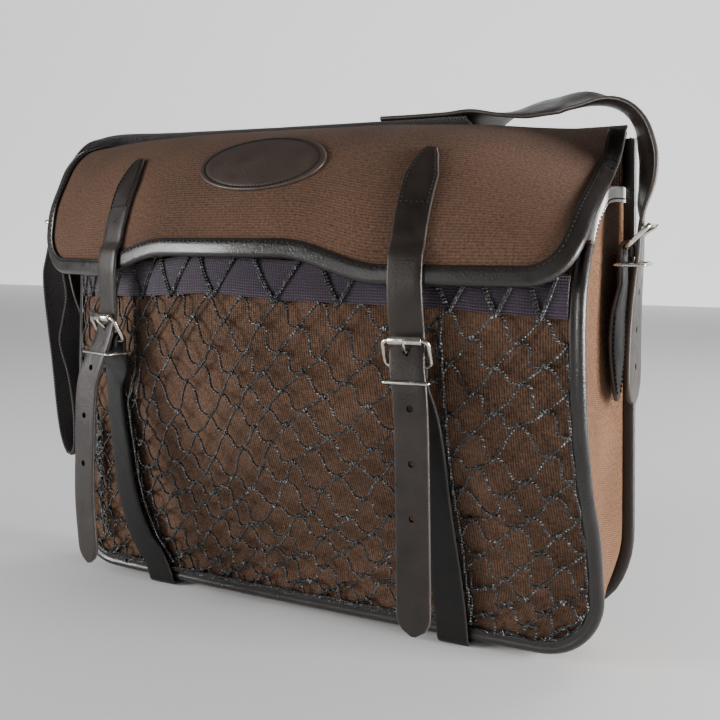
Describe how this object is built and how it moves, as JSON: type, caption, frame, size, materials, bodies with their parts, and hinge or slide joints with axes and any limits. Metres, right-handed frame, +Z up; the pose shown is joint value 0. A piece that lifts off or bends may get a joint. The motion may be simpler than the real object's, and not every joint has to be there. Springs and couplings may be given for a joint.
{
  "type": "hunting game bag",
  "caption": "Hunting game bag: cloth body with a domed flap, a knotted net pocket over the front, leather piping, buckled closing straps and a shoulder strap.",
  "frame": {"origin": "on the flat bottom, in the middle of the bag's width, 25 mm in front of its back", "axes": "+Z up, -Y towards the front with the flap and net, +X towards the side with the shoulder strap's buckle"},
  "size_m": [0.4726, 0.1517, 0.3439],
  "materials": {
    "cloth": "matt twill",
    "leather": "semi gloss",
    "webbing": "matt weave",
    "elastic": "ribbed",
    "cord": "twisted cord",
    "nickel": "polished"
  },
  "bodies": {
    "root": {"back_panel": "cloth", "gusset": "cloth", "front_panel": "cloth", "flap": "cloth", "gusset_hem_right": "leather", "gusset_hem_left": "leather", "front_piping": "leather", "back_binding": "leather", "flap_binding": "leather", "badge": "leather", "net_pocket": "cord", "pocket_band": "elastic", "billet_left": "leather", "billet_right": "leather", "chape_left": "leather", "chape_right": "leather", "buckle_left": "nickel", "buckle_right": "nickel", "roller_left": "nickel", "roller_right": "nickel", "prong_left": "nickel", "prong_right": "nickel", "keeper_left": "nickel", "keeper_right": "nickel", "shoulder_webbing": "webbing", "shoulder_leather": "leather", "side_anchor": "leather", "side_buckle": "nickel", "side_prong": "nickel", "side_keeper": "nickel", "left_anchor": "leather", "left_ring": "nickel"}
  },
  "joints": []
}
